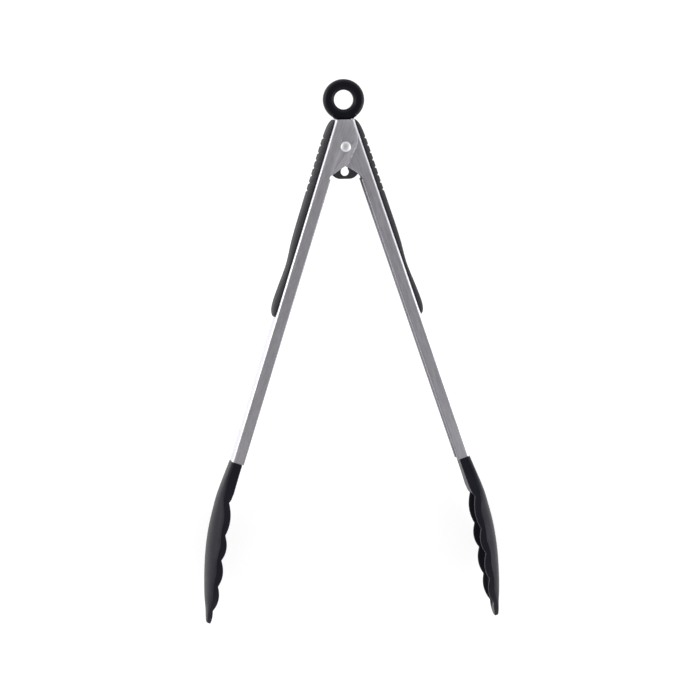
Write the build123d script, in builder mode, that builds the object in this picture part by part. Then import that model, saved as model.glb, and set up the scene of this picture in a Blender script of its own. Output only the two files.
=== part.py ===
from build123d import *

import os
from math import atan2, cos, pi, radians, sin, sqrt

# Twelve inch locking kitchen tongs, sprung open, lying on their side. Millimetres.
# The origin is the centre of the hanging hole, +Z runs along the pivot and +Y from the tips to the ring.
# Each arm has its own frame: u runs down the arm from the pivot, v points at the other arm.

# Arms
OPEN_HALF_ANGLE = 18.0  # each arm from the centre line, at rest
PIVOT_TO_RING = 27.4
SHEET = 0.9
BACK = -10.2  # the outer face of a channel's back wall, in v
RAIL_EDGE = -2.8  # the free edges of a channel's sides, in v
OUTER_WIDTH = 20.0
INNER_WIDTH = 17.7
CORNER = 1.7  # outside bend radius of the folded sheet
EAR_TOP = 15.8  # height of the arms' level top edges above the pivot
# The ears' rounded edge, as distance down the arm and v: from EAR_START on the top edge to the crotch slope
EAR_START = -2.6
EAR_ARC_MIDDLE = (-10.4, 3.2)
EAR_ARC_END = (-3.0, 6.1)
EAR_FOOT = (9.6, 4.2)
CROTCH_END = 19.3
HEM_START = 21.0
HEM_HEIGHT = 2.0  # the rails' edges are folded in by this much, so that they are safe to hold
HEM_ROUND = 0.8
STEEL_END = 196.0  # where the steel goes into the head
TANG_LENGTH = 14.0
TANG_STEP = 0.7  # the tang is pressed in by this much all round, so that the head lies flush
TANG_LAP = 1.0
TANG_HOLE = 203.0

# Pivot
PIN_RADIUS = 1.6
PIN_CLEARANCE = 0.05
RIVET_HEAD_RADIUS = 3.0
RIVET_HEAD_HEIGHT = 0.9
RIVET_HEAD_GAP = 0.1
SLEEVE_RADIUS = 3.4

# Torsion spring
WIRE_RADIUS = 0.7
BEND_LENGTH = 4.0  # where a leg leaves the coil
COIL_RADIUS = 3.8
COIL_PITCH = 1.5
COIL_TURNS = 3  # whole turns, and the rest comes from where the legs point
SPRING_GAP = 0.3
LEG_GAP = 0.2  # between a leg's end and the back wall that it presses on
LEG_END = 34.0  # how far down the arm each leg reaches

# Lock plate and ring
PLATE_THICKNESS = 1.6
PLATE_BOTTOM = -19.1
PLATE_HALF_WIDTH = 8.5
PLATE_SHOULDER = -4.0  # the plate narrows from here
PLATE_CORNER = 6.0
SHOULDER_ROUND = 3.0
STEM_HALF_WIDTH = 4.2
STEM_START = 13.0
STEM_TOP = 20.0  # inside the ring's moulding
SLOT_RADIUS = 1.8
SLOT_END_RADIUS = 2.4  # the slot opens into a round hole at its lower end
SLOT_BOTTOM = -14.9
SLOT_TOP = 0.4
KEY_RADIUS = 1.2  # the ring's moulding runs through this hole in the stem
KEY_HEIGHT = 18.2
RING_RADIUS = 12.1
HOLE_RADIUS = 5.7
HOLE_LAND = 3.0  # straight length of the hanging hole's wall
RING_THICKNESS = 8.0
RING_ROUND = 2.4
RING_FOOT_WIDTH = 11.6
RING_FOOT = 16.1  # height of the ring's flat foot above the pivot
FOOT_HEIGHT = 3.0
FOOT_ROUND = 0.6

# Grips: distance down the arm and thickness
GRIP_SHOULDER = 0.8  # height of the grip's straight side above the steel
GRIP_STATIONS = [
    (-13.0, 1.2),
    (-9.5, 2.7),
    (-4.0, 3.3),
    (20.0, 3.4),
    (58.0, 3.3),
    (68.0, 2.8),
    (77.0, 2.2),
    (86.0, 2.7),
    (94.0, 3.1),
    (101.0, 3.3),
    (105.5, 2.6),
    (107.5, 1.3),
]
GRIP_CORNER = 1.8  # width of the rounding along each side of the crown
RIB_COUNT = 8
RIB_PITCH = 4.6
RIB_MIDDLE = 15.0
RIB_CROWN = 3.4  # the grip is this thick where its ribs are
RIB_DEPTH = 0.6
RIB_WIDTH = 1.1
PLUG_RADIUS = 2.0
PLUG_HEAD_RADIUS = 3.0
PLUG_HEAD_HEIGHT = 0.9
PLUG_PLACES = (44.0, 70.0, 96.0)

# Heads: distance down the arm, crown of the back, shoulder, half width, half width of the crown's flat
SOCKET_PROUD = 0.3  # the socket stands this far outside the steel
HEAD_STATIONS = [
    (214.0, -12.0, -8.8, 12.4, 6.4),
    (226.0, -12.0, -8.0, 15.8, 5.0),
    (240.0, -10.9, -6.4, 18.0, 4.0),
    (255.0, -8.1, -3.8, 18.2, 4.0),
    (268.0, -4.6, -0.8, 16.0, 4.0),
    (278.0, -1.4, 1.6, 12.6, 3.5),
    (285.0, 1.5, 3.6, 9.2, 3.0),
    (291.4, 3.8, 4.8, 5.2, 2.5),
]
# The spoon's hollow, the same five values with its floor in place of the crown
HOLLOW_STATIONS = [
    (219.0, -8.6, -7.0, 8.0, 4.0),
    (228.0, -9.6, -6.6, 12.6, 4.0),
    (240.0, -8.6, -5.0, 15.2, 4.0),
    (255.0, -5.8, -2.4, 15.6, 4.0),
    (268.0, -2.2, 0.6, 13.4, 3.5),
    (277.0, 0.8, 2.8, 10.2, 3.0),
    (285.0, 3.9, 4.9, 6.4, 2.5),
]
# The rim, in u and v: the socket's closed side, the notches between the lobes, and the tip
RIM_START = (190.0, -3.7)
SOCKET_END = (213.0, -3.7)
SOCKET_ROUND = (216.6, -4.05)
RIM_NOTCHES = [(219.2, -5.0), (238.0, -1.9), (252.6, 0.1), (268.1, 2.9), (283.2, 4.7)]
RIM_TIP = (292.4, 5.9)
LOBE_RISE = 1.9
TIP_RISE = 0.5
LIP_PROUD = 0.45  # the lip round the rim stands this far out from the dome
LIP_DEPTH = 3.8
CLEAR = 40.0  # longer than anything that a cutter with this length goes through

half = radians(OPEN_HALF_ANGLE)
pivot = Vector(0, -PIVOT_TO_RING, 0)
pivot_plane = Plane(origin=pivot)
outer_frame = Plane(origin=pivot, x_dir=(-sin(half), -cos(half), 0), z_dir=(0, 0, 1))
inner_frame = Plane(origin=pivot, x_dir=(sin(half), -cos(half), 0), z_dir=(0, 0, -1))


def top_edge(v):
    """The arm's level top edge at v, as a distance down the arm."""
    return -(EAR_TOP + v * sin(half)) / cos(half)


def across(frame, u):
    """The plane across an arm at u: its X is the arm's v and its Y is the arm's Z."""
    return Plane(origin=frame.from_local_coords((u, 0, 0)), x_dir=frame.y_dir, z_dir=frame.x_dir)


def along_back(frame, v):
    """The plane of the back wall at v: its X runs down the arm and its Z away from the other arm."""
    return Plane(origin=frame.from_local_coords((0, v, 0)), x_dir=frame.x_dir, z_dir=-frame.y_dir)


def channel(back, edge, outer_half, inner_half, corner):
    """A U section in the sketch in hand: a folded sheet open towards the other arm."""
    with Locations(((back + edge) / 2, 0)):
        Rectangle(edge - back, 2 * outer_half)
    fillet(vertices().group_by(Axis.X)[0], corner)
    with Locations(((back + edge + SHEET) / 2, 0)):
        Rectangle(edge - back - SHEET, 2 * inner_half, mode=Mode.SUBTRACT)


def make_arm(frame, width):
    """A folded channel with ears at the pivot, hemmed rails and a pressed-in tang for the head."""
    inside = width / 2 - SHEET
    rail = RAIL_EDGE - HEM_ROUND
    with BuildPart() as arm:
        with BuildSketch(frame) as side:
            with BuildLine():
                ear_start = (top_edge(EAR_START), EAR_START)
                ThreePointArc(ear_start, EAR_ARC_MIDDLE, EAR_ARC_END)
                Polyline(EAR_ARC_END, EAR_FOOT, (CROTCH_END, rail), (STEEL_END, rail), (STEEL_END, BACK))
                Polyline((STEEL_END, BACK), (top_edge(BACK), BACK), ear_start)
            make_face()
            fillet(side.vertices().sort_by_distance(EAR_FOOT)[0], CORNER)
            fillet(side.vertices().sort_by_distance((CROTCH_END, rail))[0], CORNER)
        extrude(amount=width / 2, both=True)
        back_wall = arm.faces().sort_by(Axis(pivot, frame.y_dir))[0]
        fillet(back_wall.edges().filter_by(Axis(pivot, frame.x_dir)), CORNER)
        # The room inside the fold
        with BuildSketch(across(frame, -CLEAR)) as room:
            with Locations((BACK + SHEET + CLEAR / 2, 0)):
                Rectangle(CLEAR, 2 * inside)
            fillet(room.vertices().group_by(Axis.X)[0], CORNER - SHEET)
        extrude(amount=CLEAR + STEEL_END, mode=Mode.SUBTRACT)
        # The hems along the rails
        with BuildSketch(across(frame, HEM_START)) as hems:
            with Locations((RAIL_EDGE - HEM_HEIGHT / 2, inside), (RAIL_EDGE - HEM_HEIGHT / 2, -inside)):
                Rectangle(HEM_HEIGHT, 2 * SHEET)
            fillet(hems.vertices().group_by(Axis.X)[-1], HEM_ROUND)
        extrude(amount=STEEL_END - HEM_START)
        # The tang inside the head
        with BuildSketch(across(frame, STEEL_END - TANG_LAP)):
            channel(
                BACK + TANG_STEP,
                RAIL_EDGE - HEM_HEIGHT,
                width / 2 - TANG_STEP,
                inside - TANG_STEP,
                CORNER - TANG_STEP,
            )
        extrude(amount=TANG_LAP + TANG_LENGTH)
        with BuildSketch(along_back(frame, BACK)):
            with Locations([(u, 0) for u in (*PLUG_PLACES, TANG_HOLE)]):
                Circle(PLUG_RADIUS)
        extrude(amount=3 * SHEET, both=True, mode=Mode.SUBTRACT)
        with BuildSketch(pivot_plane):
            Circle(PIN_RADIUS + PIN_CLEARANCE)
        extrude(amount=width, both=True, mode=Mode.SUBTRACT)
    return arm


def dome_section(frame, u, top, crown, shoulder, half_width, flat):
    """A D section across an arm: open side at top, straight sides, then a rounded back to the crown."""
    radii = (shoulder - crown, half_width - flat)
    with BuildSketch(across(frame, u)) as section:
        with BuildLine():
            Line((crown, -flat), (crown, flat))
            EllipticalCenterArc((shoulder, flat), *radii, start_angle=90, arc_size=90)
            Line((shoulder, half_width), (top, half_width))
            Line((top, half_width), (top, -half_width))
            Line((top, -half_width), (shoulder, -half_width))
            EllipticalCenterArc((shoulder, -flat), *radii, start_angle=180, arc_size=90)
        make_face()
    return section.sketch


def make_grip(frame, width, steel):
    """A soft grip on the back wall, ribbed near the pivot, held by plugs through the steel."""
    half_width = width / 2 - CORNER
    flat = half_width - GRIP_CORNER
    with BuildPart() as grip:
        sections = [
            dome_section(frame, u, BACK, BACK - thickness, BACK - GRIP_SHOULDER, half_width, flat)
            for u, thickness in GRIP_STATIONS
        ]
        loft(sections)
        with BuildSketch(frame):
            with Locations((RIB_MIDDLE, BACK - RIB_CROWN)):
                with GridLocations(RIB_PITCH, 0, RIB_COUNT, 1):
                    Rectangle(RIB_WIDTH, 2 * RIB_DEPTH)
        extrude(amount=width, both=True, mode=Mode.SUBTRACT)
        plugs = [(u, 0) for u in PLUG_PLACES]
        with BuildSketch(along_back(frame, BACK)):
            with Locations(plugs):
                Circle(PLUG_RADIUS)
        extrude(amount=-SHEET)
        with BuildSketch(along_back(frame, BACK + SHEET)):
            with Locations(plugs):
                Circle(PLUG_HEAD_RADIUS)
        extrude(amount=-PLUG_HEAD_HEIGHT)
        add(steel.part, mode=Mode.SUBTRACT)
    return grip


def rim_face(frame, drop, far):
    """The area between the rim's line, lowered by drop, and the level far."""

    def lowered(point):
        return (point[0], point[1] - drop)

    def lobe(start, end, rise):
        middle = (Vector(start) + Vector(end)) / 2 + Vector(0, rise)
        ThreePointArc(start, middle, end)

    notches = [lowered(p) for p in RIM_NOTCHES]
    tip = lowered(RIM_TIP)
    with BuildSketch(frame) as face:
        with BuildLine():
            Line(lowered(RIM_START), lowered(SOCKET_END))
            ThreePointArc(lowered(SOCKET_END), lowered(SOCKET_ROUND), notches[0])
            for start, end in zip(notches, notches[1:]):
                lobe(start, end, LOBE_RISE)
            lobe(notches[-1], tip, TIP_RISE)
            Polyline(tip, (RIM_TIP[0], far), (RIM_START[0], far), lowered(RIM_START))
        make_face()
    return face.sketch


def make_head(frame, width, steel):
    """A nylon scoop with a scalloped rim, moulded round the arm's tang."""
    socket = width / 2 + SOCKET_PROUD
    stations = [
        (STEEL_END, -10.6, -8.4, socket, socket - 2.2),
        (STEEL_END + 9, -11.3, -8.6, socket + 0.5, socket - 2.6),
        *HEAD_STATIONS,
    ]
    with BuildPart() as head:
        # The lip, which stands a little outside the dome
        lip_sections = [
            dome_section(frame, u, CLEAR, crown - LIP_PROUD, shoulder, half_width + LIP_PROUD, flat)
            for u, crown, shoulder, half_width, flat in stations
        ]
        loft(lip_sections)
        extrude(rim_face(frame, LIP_DEPTH, -CLEAR), amount=CLEAR, both=True, mode=Mode.SUBTRACT)
        # The dome
        loft([dome_section(frame, u, CLEAR, *sizes) for u, *sizes in stations])
        extrude(rim_face(frame, 0, 2 * CLEAR), amount=CLEAR, both=True, mode=Mode.SUBTRACT)
        # The hollow
        hollow_sections = [dome_section(frame, u, CLEAR, *sizes) for u, *sizes in HOLLOW_STATIONS]
        loft(hollow_sections, mode=Mode.SUBTRACT)
        add(steel.part, mode=Mode.SUBTRACT)
    return head


outer_arm = make_arm(outer_frame, OUTER_WIDTH)
inner_arm = make_arm(inner_frame, INNER_WIDTH)
outer_grip = make_grip(outer_frame, OUTER_WIDTH, outer_arm)
inner_grip = make_grip(inner_frame, INNER_WIDTH, inner_arm)
outer_head = make_head(outer_frame, OUTER_WIDTH, outer_arm)
inner_head = make_head(inner_frame, INNER_WIDTH, inner_arm)

# The rivet: a pin with a low domed head at each end
head_base = OUTER_WIDTH / 2 + RIVET_HEAD_GAP
with BuildPart() as pivot_rivet:
    with BuildSketch(Plane(origin=pivot, x_dir=(1, 0, 0), z_dir=(0, -1, 0))):
        with BuildLine():
            Line((0, 0), (0, head_base + RIVET_HEAD_HEIGHT))
            dome_edge = (RIVET_HEAD_RADIUS, head_base)
            dome_middle = (RIVET_HEAD_RADIUS * 0.6, head_base + RIVET_HEAD_HEIGHT * 0.72)
            ThreePointArc((0, head_base + RIVET_HEAD_HEIGHT), dome_middle, dome_edge)
            Polyline(dome_edge, (PIN_RADIUS, head_base), (PIN_RADIUS, 0), (0, 0))
        make_face()
    revolve(axis=Axis(pivot, (0, 0, 1)))
    mirror(about=Plane.XY)

# The sleeve fills the far side of the pivot, between the lock plate and the inner arm
inner_face = INNER_WIDTH / 2 - SHEET
sleeve_ends = (PLATE_THICKNESS / 2 + SPRING_GAP, inner_face - SPRING_GAP)
with BuildPart() as spacer_sleeve:
    with BuildSketch(pivot_plane.offset(-sleeve_ends[1])):
        Circle(SLEEVE_RADIUS)
        Circle(PIN_RADIUS + PIN_CLEARANCE, mode=Mode.SUBTRACT)
    extrude(amount=sleeve_ends[1] - sleeve_ends[0])

# The spring: a coil on the near side of the plate, with a leg to the back wall of each arm
coil_start = PLATE_THICKNESS / 2 + SPRING_GAP + WIRE_RADIUS
leg_v = BACK + SHEET + WIRE_RADIUS + LEG_GAP
leg_end = inner_frame.from_local_coords((LEG_END, leg_v, 0)) - pivot
leg_length = sqrt(leg_end.length**2 - COIL_RADIUS**2)
# The first leg leaves the coil along its tangent, and the last one mirrors it
first_angle = atan2(leg_end.Y, leg_end.X) + atan2(leg_length, COIL_RADIUS)
coil_height = COIL_PITCH * (COIL_TURNS + (pi - 2 * first_angle) / (2 * pi))
coil_plane = Plane(
    origin=pivot + (0, 0, coil_start), x_dir=(cos(first_angle), sin(first_angle), 0), z_dir=(0, 0, 1)
)
coil = coil_plane.location * Edge.make_helix(COIL_PITCH, coil_height, COIL_RADIUS)
with BuildPart() as torsion_spring:
    with BuildLine() as wire:
        add(coil)
        for place, side in ((0, 1), (1, -1)):
            # Each leg levels out from the coil's slope over a short bend
            coil_end = coil @ place
            off_coil = (coil % place) * -side
            down_the_arm = Vector(side * sin(first_angle), -cos(first_angle), 0)
            leg_start = coil_end + (down_the_arm + off_coil) * (BEND_LENGTH / 2)
            pull = BEND_LENGTH / 3
            Bezier(coil_end, coil_end + off_coil * pull, leg_start - down_the_arm * pull, leg_start)
            Line(leg_start, leg_start + down_the_arm * (leg_length - BEND_LENGTH))
    path = wire.wires()[0]
    with BuildSketch(Plane(origin=path @ 0, z_dir=path % 0)):
        Circle(WIRE_RADIUS)
    sweep(path=path)

# The lock plate: a slotted plate that narrows to the stem of the ring
with BuildPart() as lock_plate:
    with BuildSketch(pivot_plane) as outline:
        with BuildLine():
            Polyline(
                (0, STEM_TOP), (STEM_HALF_WIDTH, STEM_TOP), (STEM_HALF_WIDTH, STEM_START),
                (PLATE_HALF_WIDTH, PLATE_SHOULDER), (PLATE_HALF_WIDTH, PLATE_BOTTOM), (0, PLATE_BOTTOM),
            )
            mirror(about=Plane.YZ)
        make_face()
        fillet(outline.vertices().group_by(Axis.Y)[0], PLATE_CORNER)
        fillet(outline.vertices().filter_by_position(Axis.Y, PLATE_SHOULDER, STEM_START), SHOULDER_ROUND)
        with Locations((0, (SLOT_TOP + SLOT_BOTTOM) / 2)):
            SlotCenterToCenter(SLOT_TOP - SLOT_BOTTOM, 2 * SLOT_RADIUS, rotation=90, mode=Mode.SUBTRACT)
        with Locations((0, SLOT_BOTTOM)):
            Circle(SLOT_END_RADIUS, mode=Mode.SUBTRACT)
        with Locations((0, KEY_HEIGHT)):
            Circle(KEY_RADIUS, mode=Mode.SUBTRACT)
    extrude(amount=PLATE_THICKNESS / 2, both=True)

# The ring, moulded over the plate's stem, with a flat foot that stops against the arms' top edges
foot_level = RING_FOOT - PIVOT_TO_RING
with BuildPart() as pull_ring:
    with BuildSketch() as foot:
        with Locations((0, foot_level)):
            Rectangle(RING_FOOT_WIDTH, FOOT_HEIGHT, align=(Align.CENTER, Align.MIN))
    extrude(amount=RING_THICKNESS / 2, both=True)
    fillet(pull_ring.edges().group_by(Axis.Y)[0], FOOT_ROUND)
    with BuildSketch(Plane.XZ) as section:
        with Locations((HOLE_RADIUS, 0)):
            Rectangle(RING_RADIUS - HOLE_RADIUS, RING_THICKNESS, align=(Align.MIN, Align.CENTER))
        fillet(section.vertices().group_by(Axis.X)[0], (RING_THICKNESS - HOLE_LAND) / 2)
        fillet(section.vertices().group_by(Axis.X)[-1], RING_ROUND)
    revolve(axis=Axis.Z)
    # The foot is flat right across
    with BuildSketch(Plane.XZ.offset(-foot_level)):
        Rectangle(2 * RING_RADIUS, RING_THICKNESS)
    extrude(amount=RING_RADIUS, mode=Mode.SUBTRACT)
    add(lock_plate.part, mode=Mode.SUBTRACT)

pieces = {
    "outer_arm": outer_arm,
    "inner_arm": inner_arm,
    "outer_grip": outer_grip,
    "inner_grip": inner_grip,
    "outer_head": outer_head,
    "inner_head": inner_head,
    "pivot_rivet": pivot_rivet,
    "spacer_sleeve": spacer_sleeve,
    "torsion_spring": torsion_spring,
    "lock_plate": lock_plate,
    "pull_ring": pull_ring,
}
os.makedirs("parts", exist_ok=True)
for name, piece in pieces.items():
    piece.part.label = name
    export_step(piece.part, f"parts/{name}.step")
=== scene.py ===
from math import atan, atan2, cos, pi, radians, sin, tan

import bmesh
import bpy
import numpy as np
from mathutils import Matrix, Vector


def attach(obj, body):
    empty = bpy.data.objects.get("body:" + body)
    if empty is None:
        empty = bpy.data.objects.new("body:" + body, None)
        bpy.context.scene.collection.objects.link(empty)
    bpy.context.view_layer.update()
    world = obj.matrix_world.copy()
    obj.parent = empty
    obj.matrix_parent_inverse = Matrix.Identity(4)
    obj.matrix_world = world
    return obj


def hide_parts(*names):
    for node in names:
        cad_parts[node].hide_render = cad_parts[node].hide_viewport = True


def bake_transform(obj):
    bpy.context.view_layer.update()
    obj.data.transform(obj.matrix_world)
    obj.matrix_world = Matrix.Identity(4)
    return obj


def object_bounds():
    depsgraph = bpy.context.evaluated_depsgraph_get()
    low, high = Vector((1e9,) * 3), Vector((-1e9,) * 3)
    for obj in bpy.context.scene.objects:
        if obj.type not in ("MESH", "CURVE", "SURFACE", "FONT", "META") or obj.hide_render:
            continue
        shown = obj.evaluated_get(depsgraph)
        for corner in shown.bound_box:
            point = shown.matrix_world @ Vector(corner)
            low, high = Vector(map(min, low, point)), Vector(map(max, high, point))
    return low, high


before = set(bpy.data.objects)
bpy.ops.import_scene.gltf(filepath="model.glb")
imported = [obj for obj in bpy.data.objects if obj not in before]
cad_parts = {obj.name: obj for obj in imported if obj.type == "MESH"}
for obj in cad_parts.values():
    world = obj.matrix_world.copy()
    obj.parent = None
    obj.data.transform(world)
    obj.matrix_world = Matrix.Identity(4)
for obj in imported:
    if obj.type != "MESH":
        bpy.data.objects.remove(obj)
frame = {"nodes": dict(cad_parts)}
cad_low, cad_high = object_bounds()

# Sizes are in millimetres. An arm's own frame has u down the arm from the pivot, v towards the other arm
# and w across it.
MM = 0.001
HALF_ANGLE = radians(18.0)
BACK = -10.2  # v of a channel's back wall
SHEET = 0.9
OUTER_WIDTH, INNER_WIDTH = 20.0, 17.7
PIVOT = Vector((0, -27.4, 0))


def arm_matrix(side):
    """From an arm's frame to the row frame, in metres. side is -1 for the outer arm, +1 for the inner."""
    s, c = sin(HALF_ANGLE), cos(HALF_ANGLE)
    down = Vector((side * s, -c, 0))
    inward = Vector((-side * c, -s, 0))
    turn = Matrix((down, inward, down.cross(inward))).transposed().to_4x4()
    return Matrix.Scale(MM, 4) @ Matrix.Translation(PIVOT) @ turn


ARMS = {"outer": (arm_matrix(-1), OUTER_WIDTH), "inner": (arm_matrix(1), INNER_WIDTH)}
ROW = Matrix.Scale(MM, 4)
EASED_EDGE = 0.09  # how far the sheet metal's sharp edges are broken
SHARP = 40.0  # degrees: an edge that turns more than this stays sharp
MOULDED_SHARP = 50.0  # the same, for the mouldings and the wire

# ---------------------------------------------------------------- meshes


def smooth_curve(x, stations, column):
    """A smooth curve through one column of a list of stations."""
    places = np.array([s[0] for s in stations], float)
    values = np.array([s[column] for s in stations], float)
    slopes = np.gradient(values, places)
    x = np.clip(x, places[0], places[-1])
    i = np.clip(np.searchsorted(places, x, "right") - 1, 0, len(places) - 2)
    gap = places[i + 1] - places[i]
    t = (x - places[i]) / gap
    return (
        (2 * t**3 - 3 * t**2 + 1) * values[i]
        + (t**3 - 2 * t**2 + t) * gap * slopes[i]
        + (3 * t**2 - 2 * t**3) * values[i + 1]
        + (t**3 - t**2) * gap * slopes[i + 1]
    )


def place_in_scene(name, data):
    """A new object in the scene with this mesh, light or camera."""
    thing = bpy.data.objects.new(name, data)
    bpy.context.scene.collection.objects.link(thing)
    return thing


def shade_smooth(mesh, sharp_above):
    """Smooth shading, with the edges that turn more than sharp_above degrees left sharp."""
    mesh.polygons.foreach_set("use_smooth", [True] * len(mesh.polygons))
    mesh.set_sharp_from_angle(angle=radians(sharp_above))


def make_object(name, points, faces, matrix, sharp_above):
    """A smooth-shaded mesh from points in the frame that matrix turns into the row frame."""
    mesh = bpy.data.meshes.new(name)
    mesh.from_pydata([tuple(p) for p in points], [], faces)
    mesh.validate()
    mesh.transform(matrix)
    mesh.update()
    shade_smooth(mesh, sharp_above)
    return place_in_scene(name, mesh)


def eased_copy(node, name):
    """A copy of a CAD node with its sharp edges broken, as deburred sheet metal has."""
    mesh = node.data.copy()
    thing = place_in_scene(name, mesh)
    shape = bmesh.new()
    shape.from_mesh(mesh)
    bmesh.ops.remove_doubles(shape, verts=shape.verts, dist=2e-6)
    bmesh.ops.dissolve_limit(shape, angle_limit=radians(0.6), verts=shape.verts, edges=shape.edges)
    shape.to_mesh(mesh)
    shape.free()
    bevel = thing.modifiers.new("eased", "BEVEL")
    bevel.width = EASED_EDGE * MM
    bevel.segments = 2
    bevel.limit_method = "ANGLE"
    bevel.angle_limit = radians(SHARP)
    bevel.use_clamp_overlap = True
    bpy.context.view_layer.update()
    solid = bpy.data.meshes.new_from_object(thing.evaluated_get(bpy.context.evaluated_depsgraph_get()))
    thing.modifiers.clear()
    thing.data = solid
    shade_smooth(solid, SHARP)
    return thing


def tube_faces(rows, columns, joined=False):
    """The faces of a stack of closed rings of points: capped at both ends, or joined end to end."""
    faces = []
    for r in range(rows if joined else rows - 1):
        for c in range(columns):
            d = (c + 1) % columns
            here, there = r * columns, (r + 1) % rows * columns
            faces.append((here + c, here + d, there + d, there + c))
    if not joined:
        faces.append(tuple(range(columns - 1, -1, -1)))
        faces.append(tuple((rows - 1) * columns + c for c in range(columns)))
    return faces


def turns(count, start, end):
    """cos and sin of evenly spaced angles, in degrees."""
    a = np.radians(np.linspace(start, end, count))
    return zip(np.cos(a), np.sin(a))


def whole_turn(count):
    """cos and sin of evenly spaced angles all the way round."""
    return list(turns(count + 1, 0, 360))[:-1]


def ease(t):
    """From 0 to 1 as t goes from 0 to 1, with no corner at either end."""
    t = np.clip(t, 0, 1)
    return t * t * (3 - 2 * t)


def rounding(share, depth):
    """How far in a quarter-round end lies from its full size, at a share of its length from the end."""
    return depth * (1 - np.sqrt(max(0, 1 - (1 - min(share, 1)) ** 2)))


# ---------------------------------------------------------------- grips

# u, thickness
GRIP_STATIONS = [
    (-13, 1.2), (-11.5, 2.0), (-9.5, 2.6), (-6, 3.1), (-2, 3.3), (20, 3.4), (40, 3.4), (57, 3.3),
    (64, 3.05), (70, 2.55), (76, 2.2), (81, 2.35), (87, 2.75), (93, 3.1), (99, 3.3), (103, 3.05),
    (105.5, 2.4), (107, 1.6), (107.5, 1.2),
]
GRIP_INSET = 1.7  # the grip stops at the channel's rounded corners
GRIP_CORNER = 1.6  # width of the rounding along each side of the crown, and of each end in plan
GRIP_SHOULDER = 1.9  # height of that rounding
GRIP_END = 3.0  # length of the rounding at each end in plan
CROWN_DOME = 0.25
RIB_COUNT, RIB_PITCH, RIB_MIDDLE, RIB_DEPTH, RIB_WIDTH = 8, 4.6, 15.0, 0.6, 1.1
RIB_EDGE = 0.5  # length over which a rib's side fades into the crown
RIBBED = (-4, 34)  # the stretch with finer points, in u
GROOVE_HEIGHT, GROOVE_DEPTH = 0.6, 0.7  # the shadow groove between the grip and the steel
PLUG_PLACES, PLUG_RADIUS, PLUG_HEAD_RADIUS, PLUG_HEAD_ROUND = (44, 70, 96), 2.0, 3.0, 0.5
PLUG_HEAD_SIDE = 0.35  # height of the straight side of a plug's head
FIT_GAP = 0.02  # between a moulding and the steel that it goes through


def grip(name, matrix, width):
    """A soft grip moulded on the arm's back wall, with a domed crown, a waist, and ribs near the pivot."""
    half = width / 2 - GRIP_INSET
    first, last = GRIP_STATIONS[0][0], GRIP_STATIONS[-1][0]
    u = np.unique(np.concatenate([np.linspace(first, last, 100), np.linspace(*RIBBED, 200)]))
    rib_places = RIB_MIDDLE + RIB_PITCH * (np.arange(RIB_COUNT) - (RIB_COUNT - 1) / 2)
    nearest = np.min(np.abs(u[:, None] - rib_places), axis=1)
    cuts = RIB_DEPTH * ease((RIB_WIDTH / 2 + RIB_EDGE / 2 - nearest) / RIB_EDGE)
    points = []
    for at, cut in zip(u, cuts):
        crown = float(smooth_curve(at, GRIP_STATIONS, 1)) - cut
        side = half - rounding(min(at - first, last - at) / GRIP_END, GRIP_CORNER)
        corner = min(GRIP_CORNER, side * 0.5)
        groove_top = min(GROOVE_HEIGHT, crown * 0.3)
        groove_wall = -side + GROOVE_DEPTH
        shoulder = max(groove_top + 0.05, crown - GRIP_SHOULDER)
        rise = crown - CROWN_DOME - shoulder
        # Height above the steel and w, from the groove at one side, over the crown, to the other side
        ring = [(0.0, groove_wall), (groove_top * 0.9, groove_wall), (groove_top, -side)]
        ring += [(shoulder + rise * s, -side + corner * (1 - c)) for c, s in turns(11, 0, 90)]
        ring += [
            (crown - CROWN_DOME * (w / (side - corner)) ** 2, w)
            for w in np.linspace(-(side - corner), 0, 6)[1:]
        ]
        ring += [(height, -w) for height, w in reversed(ring[:-1])]
        points += [(at, BACK - height, w) for height, w in ring]
    faces = tube_faces(len(u), len(points) // len(u))
    for place in PLUG_PLACES:
        add_plug(points, faces, place)
    return make_object(name, points, faces, matrix, MOULDED_SHARP)


def add_plug(points, faces, place):
    """Adds a plug that holds the grip: a stem through the steel with a rounded head inside the channel."""
    stem, inner = PLUG_RADIUS - FIT_GAP, SHEET + FIT_GAP
    # Radius and depth below the steel's outer face
    profile = [(stem, -FIT_GAP), (stem, inner), (PLUG_HEAD_RADIUS - 0.1, inner)]
    profile += [
        (PLUG_HEAD_RADIUS - PLUG_HEAD_ROUND * (1 - c), inner + PLUG_HEAD_SIDE + PLUG_HEAD_ROUND * s)
        for c, s in turns(7, 0, 90)
    ]
    first, columns = len(points), 40
    for radius, depth in profile:
        points += [(place + radius * c, BACK + depth, radius * s) for c, s in whole_turn(columns)]
    faces += [tuple(first + i for i in face) for face in tube_faces(len(profile), columns)]


# ---------------------------------------------------------------- heads

# u, crown, half width, half of the flat along the crown
HEAD_STATIONS = [
    (214, -12, 12.4, 6.4), (220, -12.2, 14.2, 5.6), (226, -12, 15.8, 5), (240, -10.9, 17.9, 4),
    (255, -8.1, 18.2, 4), (268, -4.6, 16, 4), (278, -1.4, 12.6, 3.5), (285, 1.4, 9.2, 3),
    (289.5, 2.9, 6.4, 2.2), (290.8, 3.4, 5.2, 1.8), (291.4, 3.8, 4.2, 1.4),
]
HEAD_START, HEAD_END = 196.0, 291.38
HEAD_ROUND = 0.7  # the end round the steel is rounded over by this much
SOCKET_PROUD = 0.3  # the head stands this far outside the steel where it starts
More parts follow.
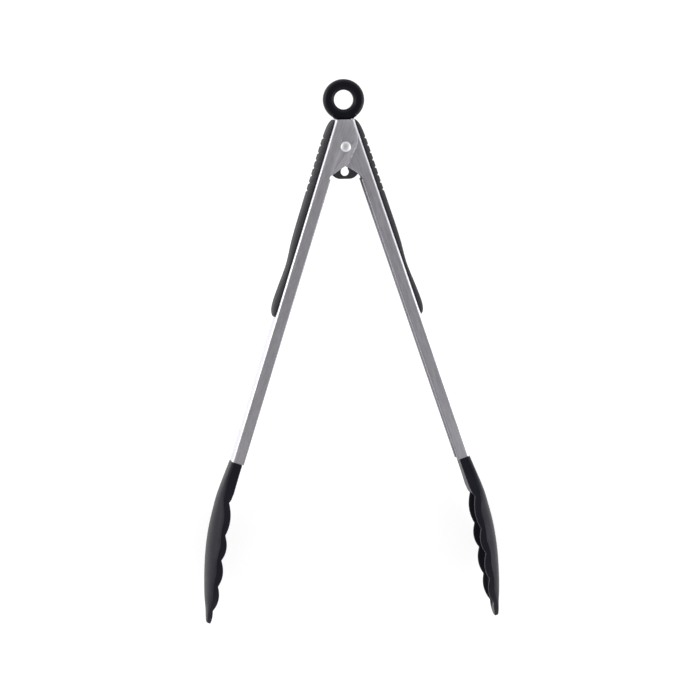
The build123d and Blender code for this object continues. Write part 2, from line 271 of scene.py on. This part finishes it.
# The rim, in u and v: level along the socket, a dip to the first notch, lobes between the notches, the tip
SOCKET_RIM_END = (213, -3.7)
RIM_DIP = (216.6, -4.05)
RIM_NOTCHES = [(219.2, -5), (238, -1.9), (252.6, 0.1), (268.1, 2.9), (283.2, 4.7)]
RIM_TIP = (292.4, 5.9)
LOBE_RISE, TIP_RISE = 1.9, 0.5
NOTCH_REACH = 0.3  # the rim is averaged this far each way, which rounds its notches
BAND_REACH = 5.0  # and the band's lower edge this far, which leaves it only gently scalloped
RIM_ROUND = 0.6
# u, depth of the flat band below the rim, and how far the dome leans in from it, in degrees
BAND_STATIONS = [
    (196, 5.6, 4), (206, 5.8, 6), (212, 5.4, 12), (218, 4.7, 20), (225, 4.0, 26), (232, 3.7, 28),
    (262, 3.9, 28), (275, 3.5, 28), (285, 2.7, 26), (291, 2.2, 24),
]
LEDGE = 0.4  # the dome starts this far inside the band
# The hollow, in u, and the lengths over which it starts and ends
HOLLOW_START, HOLLOW_END = 217.0, 288.0
HOLLOW_START_LENGTH, HOLLOW_END_LENGTH = 3.2, 7.0
WALL = 2.3
SHOULDER_DEPTH = 3.6  # the most that the hollow's rounded part rises above its floor


def rim_level(u):
    """v of the scalloped rim at u."""
    flat_end, flat = SOCKET_RIM_END
    dip_start, dip = RIM_DIP
    dip_end, bottom = RIM_NOTCHES[0]
    if u <= flat_end:
        return flat
    if u <= dip_start:
        return flat + (dip - flat) * ease((u - flat_end) / (dip_start - flat_end))
    if u <= dip_end:
        return dip + (bottom - dip) * ((u - dip_start) / (dip_end - dip_start)) ** 1.5
    stops = [*RIM_NOTCHES, RIM_TIP]
    for (u0, v0), (u1, v1) in zip(stops, stops[1:]):
        if u <= u1:
            t = 2 * (u - u0) / (u1 - u0) - 1
            rise = TIP_RISE if u1 == RIM_TIP[0] else LOBE_RISE
            return v0 + (v1 - v0) * (u - u0) / (u1 - u0) + rise * (1 - t * t)
    return RIM_TIP[1]


def soft_rim(u, reach):
    """The rim's level averaged over a length of reach each way."""
    return np.mean([rim_level(min(u + d, RIM_TIP[0])) for d in np.linspace(-reach, reach, 15)])


def hollow_section(rim, crown, half, flat, count):
    """Half of the hollow's outline, as (w, v), from its edge at the rim down to the middle of its floor."""
    shoulder = crown + min((rim - crown) * 0.55, SHOULDER_DEPTH)
    path = [(half, rim), (half, shoulder)]
    path += [(flat + (half - flat) * c, shoulder - (shoulder - crown) * s) for c, s in turns(24, 0, 90)][1:]
    path = np.array(path + [(0, crown)])
    along = np.concatenate([[0], np.cumsum(np.hypot(*np.diff(path, axis=0).T))])
    return [
        (np.interp(p, along, path[:, 0]), np.interp(p, along, path[:, 1]))
        for p in np.linspace(0.0, 1.0, count) * along[-1]
    ]


def dome_curve(edge, level, crown, flat, lean, count):
    """Half of the dome as (w, v), from the ledge at (edge, level), leaning in, to the crown's middle."""
    drop = level - crown
    first, last = Vector((edge, level)), Vector((0, crown))
    leave = first + Vector((-tan(radians(lean)), -1)) * drop * 0.5
    arrive = Vector((min(flat + (edge - flat) * 0.5, leave.x), crown))
    curve = []
    for s in np.linspace(0, 1, count):
        weights = ((1 - s) ** 3, 3 * s * (1 - s) ** 2, 3 * s * s * (1 - s), s**3)
        point = sum((p * w for p, w in zip((first, leave, arrive, last), weights)), Vector((0, 0)))
        curve.append(tuple(point))
    return curve


def head(name, matrix, width):
    """A nylon scoop with a scalloped rim and a flat band along it, which closes round the steel."""
    socket = width / 2 + SOCKET_PROUD
    stations = [
        (HEAD_START, -10.6, socket, socket - 2.2),
        (HEAD_START + 9, -11.3, socket + 0.5, socket - 2.6),
        *HEAD_STATIONS,
    ]
    # Closer together over the rounded end, at the notches and towards the tip
    u = [HEAD_START + d for d in (0, 0.1, 0.25, 0.45, HEAD_ROUND)]
    u += [*np.linspace(197.4, 290.0, 184), *np.linspace(290.2, HEAD_END, 7)]
    u += [n + d for n, _ in RIM_NOTCHES for d in (-0.6, -0.3, 0, 0.3, 0.6)]
    u = np.unique(np.round(u, 3))
    points = []
    for at in u:
        crown, half, flat = (float(smooth_curve(at, stations, k)) for k in (1, 2, 3))
        depth, lean = (float(smooth_curve(at, BAND_STATIONS, k)) for k in (1, 2))
        inset = rounding((at - HEAD_START) / HEAD_ROUND, HEAD_ROUND)
        half, crown, rim = half - inset, crown + inset, soft_rim(at, NOTCH_REACH) - inset
        height = rim - crown
        level = max(min(soft_rim(at, BAND_REACH) - depth, rim - 0.8), crown + 0.25 * height)
        edge = min(RIM_ROUND, half * 0.25, (rim - level) * 0.4)
        ledge = min(LEDGE, half * 0.12)
        # Half of the outside as (w, v): the rim's rounded edge, the band, the ledge and the dome
        outside = [(half - edge + edge * c, rim - edge + edge * s) for c, s in turns(7, 90, 0)]
        side = rim - edge
        outside += [(half, side + (level + 0.12 - side) * f) for f in (0.25, 0.5, 0.75, 0.92, 1.0)]
        outside += [(half - 0.35 * ledge, level), (half - ledge, level - 0.03)]
        outside += dome_curve(half - ledge - 0.02, level - 0.06, crown, flat, lean, 26)
        # Half of the hollow, which has no depth outside its own stretch
        share = ease((at - HOLLOW_START) / HOLLOW_START_LENGTH)
        share *= ease((HOLLOW_END - at) / HOLLOW_END_LENGTH)
        floor_level = rim - 0.002 - (height - min(WALL, 0.42 * height)) * share
        inner_half = max(half - WALL, half * 0.45)
        lip = min(edge, half - inner_half - 0.1, (rim - floor_level) * 0.5 + 0.001)
        inside = [(inner_half + lip * (1 - s), rim - lip * (1 - c)) for c, s in list(turns(6, 0, 90))[:-1]]
        inside += hollow_section(rim - lip, floor_level, inner_half, min(flat, inner_half * 0.5), 22)
        half_ring = list(reversed(inside)) + outside
        points += [(at, v, w) for w, v in half_ring]
        points += [(at, v, -w) for w, v in reversed(half_ring[1:-1])]
    return make_object(name, points, tube_faces(len(u), len(points) // len(u)), matrix, MOULDED_SHARP)


# ---------------------------------------------------------------- ring

RING_RADIUS, HOLE_RADIUS, RING_THICKNESS = 12.1, 5.7, 8.0
RING_ROUND, HOLE_ROUND = 2.4, 2.5
# The flat foot: y of its face, half its width, its height, and the rounding along its edges
FOOT_LEVEL, FOOT_HALF, FOOT_HEIGHT, FOOT_ROUND = -11.3, 5.8, 3.0, 0.7
FOOT_BLEND, FOOT_MARGIN = 2.2, 1.5  # where the foot's small rounding turns into the ring's large one
FOOT_ANGLES = (234, 306)  # degrees: the stretch with finer points


def pull_ring(name):
    """A moulded ring, rounded outside and in, with a flat foot across its lower end."""
    half = RING_THICKNESS / 2
    steps = np.unique(np.concatenate([np.linspace(0, 360, 181)[:-1], np.linspace(*FOOT_ANGLES, 145)]))
    points = []
    for a in np.radians(steps):
        x, y = cos(a), sin(a)
        reach, near_foot = RING_RADIUS, 0
        if y < 0:
            reach = min(max(RING_RADIUS, FOOT_HALF / abs(x)), FOOT_LEVEL / y)
            if abs(x * reach) < FOOT_HALF + FOOT_MARGIN:
                near_foot = ease((FOOT_LEVEL + FOOT_HEIGHT - y * reach) / FOOT_BLEND)
        edge = RING_ROUND + (FOOT_ROUND - RING_ROUND) * near_foot
        # Radius and height, round the outer edge and then into the hole
        ring = [(reach - edge + edge * c, half - edge + edge * s) for c, s in turns(11, 0, 90)]
        ring += [
            (HOLE_RADIUS + HOLE_ROUND * (1 - s), half - HOLE_ROUND * (1 - c)) for c, s in turns(11, 0, 90)
        ]
        ring += [(r, -z) for r, z in reversed(ring)]
        points += [(r * x, r * y, z) for r, z in ring]
    faces = tube_faces(len(steps), len(points) // len(steps), joined=True)
    return make_object(name, points, faces, ROW, 45)


# ---------------------------------------------------------------- spring

WIRE_RADIUS, COIL_RADIUS, COIL_PITCH, COIL_START = 0.7, 3.8, 1.5, 1.75
COIL_TURNS = 3  # whole turns, and the rest comes from where the legs point
LEG_START, LEG_END = 0.6, 34.0
LEG_V = BACK + SHEET + WIRE_RADIUS + 0.2


def spring_path():
    """The centre line of the whole spring, with its two legs, and the index where its coil is half way."""
    s, c = sin(HALF_ANGLE), cos(HALF_ANGLE)
    end = Vector((LEG_END * s - LEG_V * c, -LEG_END * c - LEG_V * s))
    leg = (end.length**2 - COIL_RADIUS**2) ** 0.5
    first = atan2(end.y, end.x) + atan2(leg, COIL_RADIUS)
    sweep = 2 * pi * COIL_TURNS + (pi - 2 * first)
    angles = first + np.linspace(0, sweep, 241)
    height = COIL_START + COIL_PITCH * (angles - first) / (2 * pi)
    coil = [Vector((COIL_RADIUS * cos(a), COIL_RADIUS * sin(a), z)) for a, z in zip(angles, height)]
    down_right = Vector((sin(first), -cos(first), 0))
    down_left = Vector((-sin(first), -cos(first), 0))
    steps = np.linspace(leg, LEG_START, 40)
    right = [coil[0] + down_right * d for d in steps]
    left = [coil[-1] + down_left * d for d in reversed(steps)]
    return right + coil + left, len(right) + len(coil) // 2


def tube(name, path, radius):
    """A round wire along a list of points."""
    columns = 14
    points = []
    side = Vector((0, 0, 1))
    for i, p in enumerate(path):
        along = (path[min(i + 1, len(path) - 1)] - path[max(i - 1, 0)]).normalized()
        side = (side - along * side.dot(along)).normalized()
        other = along.cross(side)
        points += [p + PIVOT + radius * (side * c + other * s) for c, s in whole_turn(columns)]
    return make_object(name, points, tube_faces(len(path), columns), ROW, MOULDED_SHARP)


# ---------------------------------------------------------------- materials

NOISE_SPAN = (0.3, 0.7)  # nearly all of a noise's values lie between these


class Shader:
    """A few short words for building a node material."""

    def __init__(self, name, **constants):
        self.material = bpy.data.materials.new(name)
        self.material.use_nodes = True
        self.nodes = self.material.node_tree.nodes
        self.links = self.material.node_tree.links
        self.surface = next(n for n in self.nodes if n.type == "BSDF_PRINCIPLED")
        for socket, value in constants.items():
            self.surface.inputs[socket.replace("_", " ")].default_value = value

    def node(self, kind, **settings):
        """A new node. A setting is one of its properties, or else the value of one of its inputs."""
        made = self.nodes.new(kind)
        for key, value in settings.items():
            if hasattr(made, key):
                setattr(made, key, value)
            else:
                made.inputs[key.replace("_", " ")].default_value = value
        return made

    def place(self, turn=0.0, stretch=(1, 1, 1)):
        """Object coordinates, turned about Z and stretched."""
        spin = self.node("ShaderNodeVectorRotate", rotation_type="Z_AXIS")
        spin.inputs["Angle"].default_value = turn
        self.links.new(self.node("ShaderNodeTexCoord").outputs["Object"], spin.inputs["Vector"])
        scale = self.node("ShaderNodeVectorMath", operation="MULTIPLY")
        scale.inputs[1].default_value = stretch
        self.links.new(spin.outputs["Vector"], scale.inputs[0])
        return scale.outputs["Vector"]

    def noise(self, where, scale, detail=4.0, roughness=0.55):
        """Noise whose scale is in features a metre, in object coordinates."""
        made = self.node("ShaderNodeTexNoise", Scale=scale, Detail=detail, Roughness=roughness)
        self.links.new(where, made.inputs["Vector"])
        return made.outputs["Fac"]

    def spread(self, value, low, high, to_low, to_high):
        """A value that goes from to_low to to_high as the given one goes from low to high."""
        made = self.node("ShaderNodeMapRange")
        sockets = ("From Min", "From Max", "To Min", "To Max")
        for socket, number in zip(sockets, (low, high, to_low, to_high)):
            made.inputs[socket].default_value = number
        self.links.new(value, made.inputs["Value"])
        return made.outputs["Result"]

    def product(self, first, second):
        """Two values multiplied together."""
        made = self.node("ShaderNodeMath", operation="MULTIPLY")
        self.links.new(first, made.inputs[0])
        self.links.new(second, made.inputs[1])
        return made.outputs["Value"]

    def colour(self, value, low, high):
        """The base colour, between two colours."""
        ramp = self.node("ShaderNodeValToRGB")
        ramp.color_ramp.elements[0].color = (*low, 1)
        ramp.color_ramp.elements[1].color = (*high, 1)
        self.links.new(value, ramp.inputs["Fac"])
        self.links.new(ramp.outputs["Color"], self.surface.inputs["Base Color"])

    def rough(self, value, low, high, more=None, by=0.0):
        """The roughness, from low to high with the noise, and higher again by `by` where more is 1."""
        rough = self.spread(value, *NOISE_SPAN, low, high)
        if more:
            made = self.node("ShaderNodeMath", operation="MULTIPLY_ADD")
            made.inputs[1].default_value = by
            self.links.new(more, made.inputs[0])
            self.links.new(rough, made.inputs[2])
            rough = made.outputs["Value"]
        self.links.new(rough, self.surface.inputs["Roughness"])

    def bump(self, value, depth, strength):
        """A bump, depth metres high, on top of those already there."""
        made = self.node("ShaderNodeBump", Strength=strength, Distance=depth)
        self.links.new(value, made.inputs["Height"])
        before = self.surface.inputs["Normal"].links
        if before:
            self.links.new(before[0].from_socket, made.inputs["Normal"])
        self.links.new(made.outputs["Normal"], self.surface.inputs["Normal"])


# In metres, in coordinates turned so that Y runs up the arm
HEM_BAND = (0.0046, 0.0051)  # the brushed steel turns into the hem's rougher steel with painted shade between these, in X, either side of 0
EARS_END = (-0.0460, -0.0445)  # there are no hems above here, in Y
HEM_DULLNESS = 0.14  # roughness added on the hems


def brushed_steel(name, turn):
    """Stainless sheet with a fine grain along the arm, and a duller folded hem along each rail, with
    painted shade: its colour is darker, to dim the highlight on its rounded edge.
    """
    m = Shader(name, Metallic=1.0)
    streaks = m.noise(m.place(turn, (1.0, 0.02, 1.0)), 2200.0, 4.0, 0.7)
    grain = m.noise(m.place(turn, (1.0, 0.15, 1.0)), 1100.0, 4.0, 0.7)
    smudge = m.noise(m.place(), 60.0, 3.0, 0.5)
    split = m.node("ShaderNodeSeparateXYZ")
    m.links.new(m.place(turn), split.inputs["Vector"])
    from_centre = m.node("ShaderNodeMath", operation="ABSOLUTE")
    m.links.new(split.outputs["X"], from_centre.inputs[0])
    on_hem = m.spread(from_centre.outputs["Value"], *HEM_BAND, 0.0, 1.0)
    below_ears = m.spread(split.outputs["Y"], *EARS_END, 1.0, 0.0)
    hem = m.product(on_hem, below_ears)
    sides = m.spread(hem, 0.0, 1.0, 1.0, 0.0)
    # The ramp's dark end is painted shade on the hem, and the brushed sides use its upper part
    grain_and_hem_shade = m.product(m.spread(grain, *NOISE_SPAN, 0.6, 1.0), sides)
    m.colour(grain_and_hem_shade, (0.38, 0.37, 0.40), (0.90, 0.88, 0.94))
    m.rough(streaks, 0.30, 0.46, more=hem, by=HEM_DULLNESS)
    m.bump(streaks, 0.00002, 0.6)
    m.bump(smudge, 0.00012, 0.12)
    return m.material


def plain_steel(name, dark, light, roughness):
    """Steel with a fine even surface, for the small parts."""
    m = Shader(name, Metallic=1.0)
    fine = m.noise(m.place(), 900.0, 5.0, 0.6)
    m.colour(fine, dark, light)
    m.rough(m.noise(m.place(), 260.0), *roughness)
    m.bump(fine, 0.00001, 0.25)
    return m.material


def moulded(name, dark, light, roughness, grain, depth, specular):
    """Moulded plastic or rubber with a fine surface, grain features a metre and depth metres deep."""
    m = Shader(name, Specular_IOR_Level=specular)
    fine = m.noise(m.place(), grain, 3.0, 0.5)
    m.colour(m.noise(m.place(), 140.0), dark, light)
    m.rough(fine, *roughness)
    m.bump(fine, depth, 0.5)
    return m.material


outer_steel = brushed_steel("arm_steel_outer", HALF_ANGLE)
inner_steel = brushed_steel("arm_steel_inner", -HALF_ANGLE)
rivet_steel = plain_steel(
    "rivet_steel", (0.86, 0.86, 0.88), (0.94, 0.94, 0.96), roughness=(0.5, 0.62),
)
# Painted shade: the lock plate's steel has a very dark colour, standing in for the shade it lies in between
# the arms.
plate_steel = plain_steel(
    "plate_steel", (0.115, 0.112, 0.121), (0.155, 0.151, 0.162), roughness=(0.36, 0.46),
)
spring_steel = plain_steel(
    "spring_steel", (0.42, 0.42, 0.43), (0.52, 0.52, 0.53), roughness=(0.25, 0.35),
)
grip_rubber = moulded(
    "grip_rubber", (0.070, 0.069, 0.075), (0.088, 0.087, 0.094),
    roughness=(0.76, 0.86), grain=2600.0, depth=0.00003, specular=0.1,
)
head_nylon = moulded(
    "head_nylon", (0.0085, 0.0085, 0.0155), (0.012, 0.012, 0.0205),
    roughness=(0.40, 0.52), grain=1800.0, depth=0.000015, specular=0.22,
)
ring_plastic = moulded(
    "ring_plastic", (0.004, 0.004, 0.0085), (0.006, 0.006, 0.012),
    roughness=(0.34, 0.44), grain=2000.0, depth=0.00001, specular=0.25,
)


def paint(thing, material):
    """Gives a piece one material all over."""
    thing.data.materials.clear()
    thing.data.materials.append(material)


# ---------------------------------------------------------------- the object


def fit(piece, material, node):
    """Paints a piece, and hides the CAD node that it stands for."""
    paint(piece, material)
    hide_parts(node)


nodes = frame["nodes"]
paint(nodes["pivot_rivet"], rivet_steel)
paint(nodes["spacer_sleeve"], rivet_steel)
for node, body, material, slot in (
    ("outer_arm", "outer_arm", outer_steel, "arm_steel"),
    ("inner_arm", "inner_arm", inner_steel, "arm_steel"),
    ("lock_plate", "lock", plate_steel, "plate_steel"),
):
    sheet = eased_copy(nodes[node], f"{node}_surface")
    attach(sheet, body)
    fit(sheet, material, node)

for which, (matrix, width) in ARMS.items():
    for shape, node, material, slot in (
        (grip, f"{which}_grip", grip_rubber, "grip_rubber"),
        (head, f"{which}_head", head_nylon, "head_nylon"),
    ):
        moulding = shape(f"{node}_surface", matrix, width)
        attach(moulding, f"{which}_arm")
        fit(moulding, material, node)

ring = pull_ring("pull_ring_surface")
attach(ring, "lock")
fit(ring, ring_plastic, "pull_ring")

wire, middle = spring_path()
for which, path in (("inner", wire[: middle + 1]), ("outer", wire[middle:])):
    half = tube(f"torsion_spring_{which}_half", path, WIRE_RADIUS)
    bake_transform(half)
    fit(half, spring_steel, "torsion_spring")

# ---------------------------------------------------------------- floor, light and camera

FLOOR_SIZE = 30.0  # from its middle to each side, in metres
FLOOR_GAP = 0.0004
# Height of the direction (0 level, 1 straight up), brightness
SKY = ((0.0, 1.3), (0.35, 1.15), (0.62, 0.5), (0.85, 0.26), (1.0, 0.2))
LAMP_SIZE, LAMP_POWER = 1.2, 10


def pale_floor():
    """A wide white floor that glows a little, like a light table, under the tongs on their side."""
    z = cad_low[2] - FLOOR_GAP
    corners = [(x * FLOOR_SIZE, y * FLOOR_SIZE, z) for x, y in ((-1, -1), (1, -1), (1, 1), (-1, 1))]
    mesh = bpy.data.meshes.new("floor")
    mesh.from_pydata(corners, [], [(0, 1, 2, 3)])
    floor = place_in_scene("floor", mesh)
    m = Shader("floor_paper", Roughness=0.9, Specular_IOR_Level=0.1, Emission_Strength=0.76)
    m.surface.inputs["Emission Color"].default_value = (1, 1, 1, 1)
    m.colour(m.noise(m.place(), 40.0, 3.0), (0.54, 0.54, 0.54), (0.56, 0.56, 0.56))
    paint(floor, m.material)


def studio_world():
    """Soft white light that is strong from low down all round, and dim from straight above."""
    world = bpy.data.worlds.new("studio")
    bpy.context.scene.world = world
    world.use_nodes = True
    nodes, links = world.node_tree.nodes, world.node_tree.links
    background = next(n for n in nodes if n.type == "BACKGROUND")
    where = nodes.new("ShaderNodeTexCoord")
    split = nodes.new("ShaderNodeSeparateXYZ")
    links.new(where.outputs["Generated"], split.inputs["Vector"])
    ramp = nodes.new("ShaderNodeValToRGB")
    ramp.color_ramp.interpolation = "EASE"
    elements = ramp.color_ramp.elements
    for at, level in SKY:
        element = elements[0] if at == 0 else elements[-1] if at == 1 else elements.new(at)
        element.color = (level, level, level, 1)
    links.new(split.outputs["Z"], ramp.inputs["Fac"])
    links.new(ramp.outputs["Color"], background.inputs["Color"])


def soft_light(name, place):
    """A square area light at a point in metres, aimed at the tongs."""
    data = bpy.data.lights.new(name, "AREA")
    data.size = LAMP_SIZE
    data.energy = LAMP_POWER
    lamp = place_in_scene(name, data)
    lamp.location = place
    aim = Vector((0, -0.15, 0)) - Vector(place)
    lamp.rotation_euler = aim.to_track_quat("-Z", "Y").to_euler()


def camera():
    """High above the tongs, a little to the left and towards the ring."""
    yaw, pitch, roll = radians(5.2), radians(3.8), radians(-1.0)
    distance, half_view = 2.712, 0.206
    target = Vector((0.0013, -0.1472, 0))
    data = bpy.data.cameras.new("camera")
    data.angle = 2 * atan(half_view / distance)
    shooter = place_in_scene("camera", data)
    out = Vector((-sin(yaw) * cos(pitch), sin(pitch), cos(yaw) * cos(pitch)))
    right = Vector((0, 1, 0)).cross(out).normalized()
    up = out.cross(right)
    turn = Matrix((right, up, out)).transposed().to_4x4() @ Matrix.Rotation(roll, 4, "Z")
    shooter.matrix_world = Matrix.Translation(target + out * distance) @ turn
    bpy.context.scene.camera = shooter


pale_floor()
studio_world()
soft_light("left_light", (-1.8, 0.3, 0.6))
soft_light("right_light", (1.8, -0.4, 0.6))
camera()
bpy.context.scene.view_settings.view_transform = "Standard"
